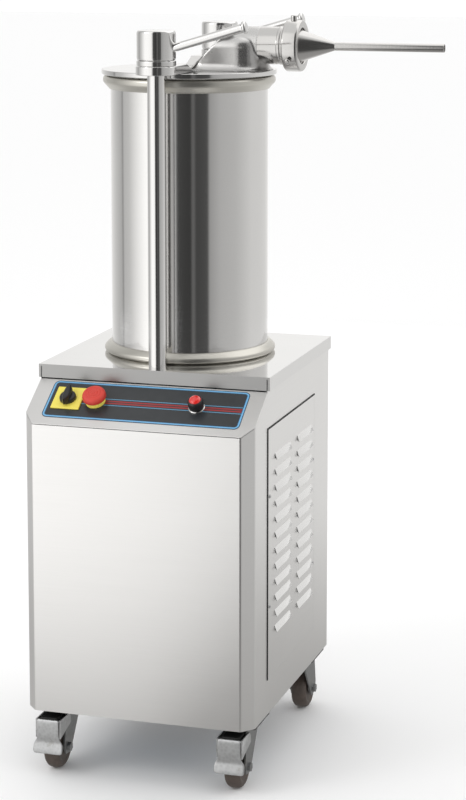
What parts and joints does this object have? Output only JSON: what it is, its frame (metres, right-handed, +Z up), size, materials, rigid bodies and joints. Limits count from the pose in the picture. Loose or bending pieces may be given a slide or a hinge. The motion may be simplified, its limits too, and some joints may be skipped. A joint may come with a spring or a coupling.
{
  "type": "sausage stuffer",
  "caption": "Floor-standing hydraulic sausage stuffer: food cylinder with swinging lid, side nozzle and sloped controls on a wheeled cabinet.",
  "frame": {"origin": "on the floor under the middle of the machine's bounding box", "axes": "+Z up, +X to the right along the front and along the nozzle, +Y to the back"},
  "size_m": [0.6604, 0.508, 1.2964],
  "materials": {
    "brushed_sheet": "fine brushed stainless sheet",
    "mirror_deck": "polished stainless sheet",
    "polished_steel": "polished stainless",
    "cast_steel": "satin cast stainless",
    "satin_ring": "bead-blasted stainless",
    "frame_steel": "dark painted steel",
    "zinc_plate": "zinc plated",
    "tyre": "dark polyurethane",
    "label_print": "printed polycarbonate film",
    "yellow_plastic": "moulded",
    "black_plastic": "moulded",
    "red_plastic": "moulded",
    "machine_paint": "machine enamel",
    "machined_steel": "machined",
    "seal": "food grade seal",
    "bronze": "turned bronze"
  },
  "bodies": {
    "cabinet": {"base_frame": "frame_steel", "front_panel": "brushed_sheet", "left_panel": "brushed_sheet", "right_panel": "brushed_sheet", "back_panel": "brushed_sheet", "console_panel": "brushed_sheet", "control_label": "label_print", "deck_plate": "mirror_deck", "support_plate": "frame_steel", "access_panel": "brushed_sheet", "access_louvres": "brushed_sheet", "panel_screws": "zinc_plate", "oil_tank": "machine_paint", "electric_motor": "machine_paint", "gear_pump": "machined_steel", "valve_block": "machined_steel", "pressure_pipes": "machined_steel", "hydraulic_barrel": "machine_paint", "barrel_foot": "frame_steel", "rod_gland": "bronze", "food_cylinder": "polished_steel", "top_collar": "satin_ring", "bottom_collar": "satin_ring", "clamp_posts": "polished_steel", "post_nuts": "zinc_plate", "electrical_box": "machine_paint", "cable_gland": "black_plastic", "switch_plate": "yellow_plastic", "control_bases": "yellow_plastic", "caster_plates": "frame_steel", "clamp_washers": "polished_steel"},
    "ram": {"piston_rod": "polished_steel", "ram_piston": "machined_steel", "pusher_piston": "polished_steel", "piston_seals": "seal"},
    "lid_arm": {"lid": "polished_steel", "lid_lugs": "polished_steel", "lid_gasket": "seal", "outlet_elbow": "cast_steel", "outlet_pipe": "cast_steel", "stuffing_nozzle": "polished_steel"},
    "nut": {"ring_nut": "cast_steel"},
    "front_clamp": {"front_cap_nut": "polished_steel", "front_lever": "polished_steel"},
    "rear_clamp": {"rear_cap_nut": "polished_steel", "rear_lever": "polished_steel"},
    "switch": {"switch_knob": "black_plastic"},
    "stop": {"stop_head": "red_plastic"},
    "speed": {"speed_knob": "black_plastic"},
    "front_left_swivel": {"front_left_fork": "zinc_plate"},
    "front_right_swivel": {"front_right_fork": "zinc_plate"},
    "rear_left_swivel": {"rear_left_fork": "zinc_plate"},
    "rear_right_swivel": {"rear_right_fork": "zinc_plate"},
    "front_left_roller": {"front_left_wheel": "tyre"},
    "front_right_roller": {"front_right_wheel": "tyre"},
    "rear_left_roller": {"rear_left_wheel": "tyre"},
    "rear_right_roller": {"rear_right_wheel": "tyre"},
    "front_left_brake": {"front_left_pedal": "zinc_plate"},
    "front_right_brake": {"front_right_pedal": "zinc_plate"}
  },
  "joints": [
    {"name": "ram_lift", "type": "slide", "parent": "cabinet", "child": "ram", "axis": [0, 0, 1], "range_m": [0, 0.44]},
    {"name": "lid_swing", "type": "hinge", "parent": "cabinet", "child": "lid_arm", "pos_m": [-0.12325, 0.219, 1.201], "axis": [0, 0, 1], "range_deg": [0, 105]},
    {"name": "ring_nut_turn", "type": "hinge", "parent": "lid_arm", "child": "nut", "pos_m": [0.06825, 0.042, 1.2435], "axis": [1, 0, 0], "continuous": true},
    {"name": "front_clamp_turn", "type": "hinge", "parent": "cabinet", "child": "front_clamp", "pos_m": [-0.12325, -0.135, 1.25], "axis": [0, 0, 1], "continuous": true},
    {"name": "rear_clamp_turn", "type": "hinge", "parent": "cabinet", "child": "rear_clamp", "pos_m": [-0.12325, 0.219, 1.25], "axis": [0, 0, 1], "continuous": true},
    {"name": "main_switch", "type": "hinge", "parent": "cabinet", "child": "switch", "pos_m": [-0.26025, -0.20678, 0.65796], "axis": [0, 0.5373, -0.8434], "range_deg": [0, 90]},
    {"name": "stop_push", "type": "slide", "parent": "cabinet", "child": "stop", "axis": [0, 0.5373, -0.8434], "range_m": [0, 0.004]},
    {"name": "speed_turn", "type": "hinge", "parent": "cabinet", "child": "speed", "pos_m": [-0.03125, -0.20678, 0.65796], "axis": [0, 0.5373, -0.8434], "range_deg": [0, 270]},
    {"name": "front_left_swivel_turn", "type": "hinge", "parent": "cabinet", "child": "front_left_swivel", "pos_m": [-0.28625, -0.175, 0.1], "axis": [0, 0, 1], "continuous": true},
    {"name": "front_left_wheel_roll", "type": "hinge", "parent": "front_left_swivel", "child": "front_left_roller", "pos_m": [-0.28625, -0.203, 0.0375], "axis": [1, 0, 0], "continuous": true},
    {"name": "rear_left_swivel_turn", "type": "hinge", "parent": "cabinet", "child": "rear_left_swivel", "pos_m": [-0.28625, 0.188, 0.1], "axis": [0, 0, 1], "continuous": true},
    {"name": "rear_left_wheel_roll", "type": "hinge", "parent": "rear_left_swivel", "child": "rear_left_roller", "pos_m": [-0.28625, 0.216, 0.0375], "axis": [1, 0, 0], "continuous": true},
    {"name": "front_left_brake_lift", "type": "hinge", "parent": "front_left_swivel", "child": "front_left_brake", "pos_m": [-0.28625, -0.205, 0.086], "axis": [-1, 0, 0], "range_deg": [0, 12]},
    {"name": "front_right_swivel_turn", "type": "hinge", "parent": "cabinet", "child": "front_right_swivel", "pos_m": [0.03975, -0.175, 0.1], "axis": [0, 0, 1], "continuous": true},
    {"name": "front_right_wheel_roll", "type": "hinge", "parent": "front_right_swivel", "child": "front_right_roller", "pos_m": [0.03975, -0.203, 0.0375], "axis": [1, 0, 0], "continuous": true},
    {"name": "rear_right_swivel_turn", "type": "hinge", "parent": "cabinet", "child": "rear_right_swivel", "pos_m": [0.03975, 0.188, 0.1], "axis": [0, 0, 1], "continuous": true},
    {"name": "rear_right_wheel_roll", "type": "hinge", "parent": "rear_right_swivel", "child": "rear_right_roller", "pos_m": [0.03975, 0.216, 0.0375], "axis": [1, 0, 0], "continuous": true},
    {"name": "front_right_brake_lift", "type": "hinge", "parent": "front_right_swivel", "child": "front_right_brake", "pos_m": [0.03975, -0.205, 0.086], "axis": [-1, 0, 0], "range_deg": [0, 12]}
  ]
}
